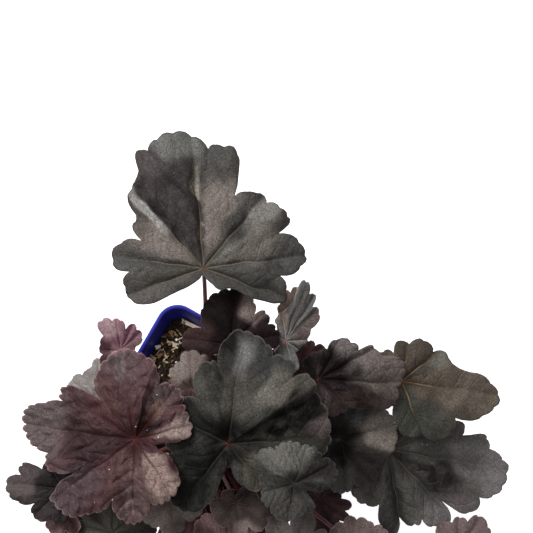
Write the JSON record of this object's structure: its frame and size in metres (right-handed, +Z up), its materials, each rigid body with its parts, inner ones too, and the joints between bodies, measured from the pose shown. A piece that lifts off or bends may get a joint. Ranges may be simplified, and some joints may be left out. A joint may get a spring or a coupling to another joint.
{
  "type": "potted heuchera plant",
  "caption": "Dark-leaved coral bells plant with scalloped, lobed leaves on thin stalks from a low crown, growing in potting mix in a square blue nursery pot.",
  "frame": {"origin": "centre of the pot's flat base", "axes": "+Z up out of the pot; X and Y along the square pot's sides; the tallest-reaching leaf lies towards -X +Y"},
  "size_m": [0.2447, 0.2592, 0.176],
  "materials": {
    "pot_plastic": "moulded, ultramarine blue",
    "potting_mix": "loose composted bark",
    "crown_bark": "rough, brown",
    "leaf_slate": "soft sheen, grey-green",
    "leaf_plum": "soft sheen, plum with a grey bloom",
    "leaf_black": "soft sheen, green-black",
    "leaf_bronze": "soft sheen, bronze",
    "leaf_umber": "soft sheen, brown-grey",
    "leaf_maroon": "soft sheen, dark maroon",
    "leaf_pink": "soft sheen, dusky pink",
    "leaf_silver": "soft sheen, silver-grey"
  },
  "bodies": {
    "root": {"pot": "pot_plastic", "soil": "potting_mix", "crown": "crown_bark", "leaf_top": "leaf_slate", "leaf_plum": "leaf_plum", "leaf_centre": "leaf_black", "leaf_bronze": "leaf_bronze", "leaf_right": "leaf_slate", "leaf_shade": "leaf_slate", "leaf_inner": "leaf_slate", "leaf_small": "leaf_slate", "leaf_dark": "leaf_maroon", "leaf_young": "leaf_bronze", "leaf_folded": "leaf_silver", "leaf_tan": "leaf_bronze", "leaf_red": "leaf_maroon", "leaf_pink": "leaf_pink", "leaf_pale": "leaf_silver", "leaf_left": "leaf_umber", "leaf_left_low": "leaf_plum", "leaf_left_pale": "leaf_umber", "leaf_moss": "leaf_black", "leaf_grey": "leaf_umber", "leaf_core": "leaf_plum", "leaf_rose": "leaf_pink", "leaf_rust": "leaf_plum", "leaf_deep": "leaf_maroon", "leaf_ember": "leaf_maroon", "leaf_mauve": "leaf_plum", "leaf_far_mauve": "leaf_plum", "leaf_blue": "leaf_slate", "leaf_under_mid": "leaf_maroon", "leaf_nook": "leaf_maroon", "leaf_back_1": "leaf_plum", "leaf_back_2": "leaf_black", "leaf_back_3": "leaf_slate", "leaf_back_4": "leaf_plum", "leaf_back_5": "leaf_black", "leaf_back_6": "leaf_slate", "leaf_back_7": "leaf_umber"}
  },
  "joints": []
}
